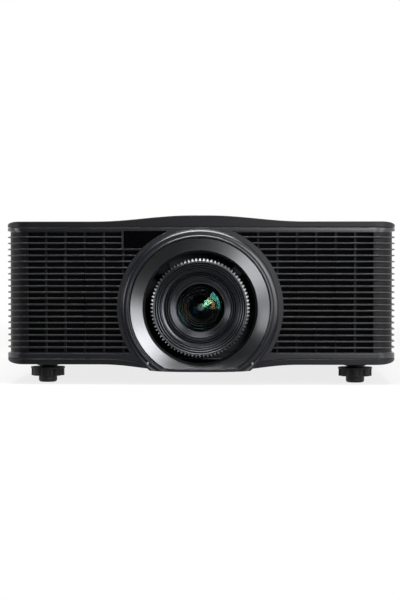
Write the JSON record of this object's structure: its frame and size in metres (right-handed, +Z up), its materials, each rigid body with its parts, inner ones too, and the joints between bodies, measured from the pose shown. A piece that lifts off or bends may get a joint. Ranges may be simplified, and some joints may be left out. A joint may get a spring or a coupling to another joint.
{
  "type": "video projector",
  "caption": "Low wide video projector with a centred round lens in a bright trim ring, louvred corner grilles, a crowned top, a rear connector bay and screw feet.",
  "frame": {"origin": "on the floor under the middle of the case", "axes": "+Z up, -Y out of the lens, +X to the right of someone who faces the lens"},
  "size_m": [0.484, 0.51, 0.209],
  "materials": {
    "cover_plastic": "fine textured charcoal moulding",
    "bezel_plastic": "satin charcoal moulding",
    "grille_plastic": "satin black moulding",
    "trim_metal": "turned and satin anodised",
    "dark_plastic": "black moulding",
    "window_plastic": "polished, passes infrared only",
    "pin_steel": "plain steel",
    "lens_black": "black anodised, matte",
    "lens_glass": "coated optical glass",
    "gear_white": "moulded gear ring",
    "brass": "machined",
    "motor_metal": "motor cans",
    "cast_metal": "die cast",
    "plate_steel": "pressed sheet",
    "supply_case": "folded case",
    "phosphor": "phosphor coated disc",
    "board": "circuit board",
    "filter_foam": "open foam",
    "port_metal": "plated shells",
    "button_plastic": "soft satin keys",
    "foot_plastic": "tough black moulding"
  },
  "bodies": {
    "case": {"top_cover": "cover_plastic", "bottom_cover": "cover_plastic", "front_bezel": "bezel_plastic", "grille_left": "grille_plastic", "grille_right": "grille_plastic", "side_panel_left": "bezel_plastic", "side_panel_right": "bezel_plastic", "rear_panel": "bezel_plastic", "io_plate": "plate_steel", "trim_ring": "trim_metal", "opening_ring": "dark_plastic", "sensor_window": "window_plastic", "bezel_pins": "pin_steel", "shift_base": "cast_metal", "guide_rods": "pin_steel", "lift_motor": "motor_metal", "deck_plate": "plate_steel", "optical_engine": "cast_metal", "light_source": "cast_metal", "laser_heatsink": "cast_metal", "wheel_motor": "motor_metal", "power_supply": "supply_case", "main_board": "board", "fan_frames": "dark_plastic", "dust_filters": "filter_foam", "mains_inlet": "dark_plastic", "video_ports": "port_metal", "data_ports": "port_metal", "keypad_board": "board", "cover_screws": "pin_steel"},
    "lens": {"lens_mount": "cast_metal", "lens_barrel": "lens_black", "lens_hood": "lens_black", "front_element": "lens_glass", "inner_elements": "lens_glass", "lens_motors": "motor_metal"},
    "focus_ring": {"focus_ring": "gear_white"},
    "focus_pinion": {"focus_pinion": "brass"},
    "zoom_ring": {"zoom_ring": "gear_white"},
    "zoom_pinion": {"zoom_pinion": "brass"},
    "lift_screw": {"lift_screw": "brass"},
    "phosphor_wheel": {"phosphor_wheel": "phosphor"},
    "fan_left": {"fan_rotor_left": "dark_plastic"},
    "fan_right": {"fan_rotor_right": "dark_plastic"},
    "power_rocker": {"power_rocker": "dark_plastic"},
    "power_button": {"power_button": "button_plastic"},
    "menu_button": {"menu_button": "button_plastic"},
    "up_button": {"up_button": "button_plastic"},
    "down_button": {"down_button": "button_plastic"},
    "left_button": {"left_button": "button_plastic"},
    "right_button": {"right_button": "button_plastic"},
    "enter_button": {"enter_button": "button_plastic"},
    "foot_stem_fl": {"foot_stem_fl": "foot_plastic"},
    "foot_knob_fl": {"foot_knob_fl": "foot_plastic"},
    "foot_stem_fr": {"foot_stem_fr": "foot_plastic"},
    "foot_knob_fr": {"foot_knob_fr": "foot_plastic"},
    "foot_stem_rl": {"foot_stem_rl": "foot_plastic"},
    "foot_knob_rl": {"foot_knob_rl": "foot_plastic"},
    "foot_stem_rr": {"foot_stem_rr": "foot_plastic"},
    "foot_knob_rr": {"foot_knob_rr": "foot_plastic"}
  },
  "joints": [
    {"name": "lens_lift", "type": "slide", "parent": "case", "child": "lens", "axis": [0, 0, 1], "range_m": [-0.0045, 0.0045]},
    {"name": "screw_turn", "type": "hinge", "parent": "case", "child": "lift_screw", "pos_m": [0.104, -0.158, 0.0945], "axis": [0, 0, 1], "range_deg": [-820, 820]},
    {"name": "focus_turn", "type": "hinge", "parent": "lens", "child": "focus_ring", "pos_m": [0, -0.237, 0.0945], "axis": [0, 1, 0], "range_deg": [-40, 40]},
    {"name": "focus_pinion_turn", "type": "hinge", "parent": "lens", "child": "focus_pinion", "pos_m": [0.0489, -0.23, 0.1434], "axis": [0, 1, 0], "range_deg": [-270, 270]},
    {"name": "zoom_turn", "type": "hinge", "parent": "lens", "child": "zoom_ring", "pos_m": [0, -0.202, 0.0945], "axis": [0, 1, 0], "range_deg": [-30, 30]},
    {"name": "zoom_pinion_turn", "type": "hinge", "parent": "lens", "child": "zoom_pinion", "pos_m": [-0.0489, -0.202, 0.1434], "axis": [0, 1, 0], "range_deg": [-205, 205]},
    {"name": "wheel_spin", "type": "hinge", "parent": "case", "child": "phosphor_wheel", "pos_m": [-0.114, -0.09, 0.0755], "axis": [0, 1, 0], "continuous": true},
    {"name": "fan_left_spin", "type": "hinge", "parent": "case", "child": "fan_left", "pos_m": [-0.215, -0.1547, 0.08848], "axis": [1, 0, 0], "continuous": true},
    {"name": "fan_right_spin", "type": "hinge", "parent": "case", "child": "fan_right", "pos_m": [0.215, -0.1547, 0.08848], "axis": [1, 0, 0], "continuous": true},
    {"name": "rocker_tilt", "type": "hinge", "parent": "case", "child": "power_rocker", "pos_m": [-0.126, 0.244, 0.0795], "axis": [1, 0, 0], "range_deg": [-20, 0]},
    {"name": "power_press", "type": "slide", "parent": "case", "child": "power_button", "axis": [0, -1, 0], "range_m": [0, 0.0008], "stiffness_N_per_m": 1500},
    {"name": "menu_press", "type": "slide", "parent": "case", "child": "menu_button", "axis": [0, -1, 0], "range_m": [0, 0.0008], "stiffness_N_per_m": 1500},
    {"name": "up_press", "type": "slide", "parent": "case", "child": "up_button", "axis": [0, -1, 0], "range_m": [0, 0.0008], "stiffness_N_per_m": 1500},
    {"name": "down_press", "type": "slide", "parent": "case", "child": "down_button", "axis": [0, -1, 0], "range_m": [0, 0.0008], "stiffness_N_per_m": 1500},
    {"name": "left_press", "type": "slide", "parent": "case", "child": "left_button", "axis": [0, -1, 0], "range_m": [0, 0.0008], "stiffness_N_per_m": 1500},
    {"name": "right_press", "type": "slide", "parent": "case", "child": "right_button", "axis": [0, -1, 0], "range_m": [0, 0.0008], "stiffness_N_per_m": 1500},
    {"name": "enter_press", "type": "slide", "parent": "case", "child": "enter_button", "axis": [0, -1, 0], "range_m": [0, 0.0008], "stiffness_N_per_m": 1500},
    {"name": "foot_fl_screw_out", "type": "slide", "parent": "case", "child": "foot_stem_fl", "axis": [0, 0, -1], "range_m": [-0.002, 0.025]},
    {"name": "foot_fl_turn", "type": "hinge", "parent": "foot_stem_fl", "child": "foot_knob_fl", "pos_m": [-0.194, -0.204, 0.015], "axis": [0, 0, -1], "range_deg": [-185, 2255]},
    {"name": "foot_fr_screw_out", "type": "slide", "parent": "case", "child": "foot_stem_fr", "axis": [0, 0, -1], "range_m": [-0.002, 0.025]},
    {"name": "foot_fr_turn", "type": "hinge", "parent": "foot_stem_fr", "child": "foot_knob_fr", "pos_m": [0.194, -0.204, 0.015], "axis": [0, 0, -1], "range_deg": [-185, 2255]},
    {"name": "foot_rl_screw_out", "type": "slide", "parent": "case", "child": "foot_stem_rl", "axis": [0, 0, -1], "range_m": [-0.002, 0.025]},
    {"name": "foot_rl_turn", "type": "hinge", "parent": "foot_stem_rl", "child": "foot_knob_rl", "pos_m": [-0.194, 0.208, 0.015], "axis": [0, 0, -1], "range_deg": [-185, 2255]},
    {"name": "foot_rr_screw_out", "type": "slide", "parent": "case", "child": "foot_stem_rr", "axis": [0, 0, -1], "range_m": [-0.002, 0.025]},
    {"name": "foot_rr_turn", "type": "hinge", "parent": "foot_stem_rr", "child": "foot_knob_rr", "pos_m": [0.194, 0.208, 0.015], "axis": [0, 0, -1], "range_deg": [-185, 2255]}
  ],
  "couplings": [
    {"joint": "screw_turn", "follows": "lens_lift", "rad_per_m": 3141.6},
    {"joint": "focus_pinion_turn", "follows": "focus_turn", "ratio": -6.6667},
    {"joint": "zoom_pinion_turn", "follows": "zoom_turn", "ratio": -6.6667},
    {"joint": "foot_fl_turn", "follows": "foot_fl_screw_out", "rad_per_m": 1570.8},
    {"joint": "foot_fr_turn", "follows": "foot_fr_screw_out", "rad_per_m": 1570.8},
    {"joint": "foot_rl_turn", "follows": "foot_rl_screw_out", "rad_per_m": 1570.8},
    {"joint": "foot_rr_turn", "follows": "foot_rr_screw_out", "rad_per_m": 1570.8}
  ]
}
